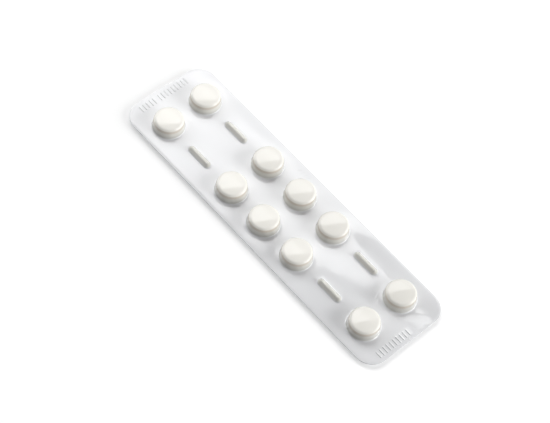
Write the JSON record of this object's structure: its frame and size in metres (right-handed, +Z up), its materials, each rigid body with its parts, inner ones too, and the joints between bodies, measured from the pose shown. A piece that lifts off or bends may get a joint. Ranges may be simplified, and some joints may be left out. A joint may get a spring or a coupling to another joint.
{
  "type": "pill blister pack",
  "caption": "Push-through blister pack: a white formed film with round pockets and short ribs in two rows, sealed by a flat foil, with a round tablet in each pocket.",
  "frame": {"origin": "middle of the foil's flat underside, which is the bottom centre of the bounding box", "axes": "+X along the pack, away from the end with the small trim step; +Y across it towards row A; +Z up, out of the pockets' side"},
  "size_m": [0.1034, 0.0296, 0.0038],
  "materials": {
    "film": "white, milky, glossy, faintly see-through at the pockets",
    "foil": "bare foil, matt from the sealing knurl, unprinted",
    "tablet": "pressed powder, matt off-white"
  },
  "bodies": {
    "root": {"forming_film": "film", "lidding_foil": "foil", "tablet_a1": "tablet", "tablet_a2": "tablet", "tablet_a3": "tablet", "tablet_a4": "tablet", "tablet_a5": "tablet", "tablet_b1": "tablet", "tablet_b2": "tablet", "tablet_b3": "tablet", "tablet_b4": "tablet", "tablet_b5": "tablet"}
  },
  "joints": []
}
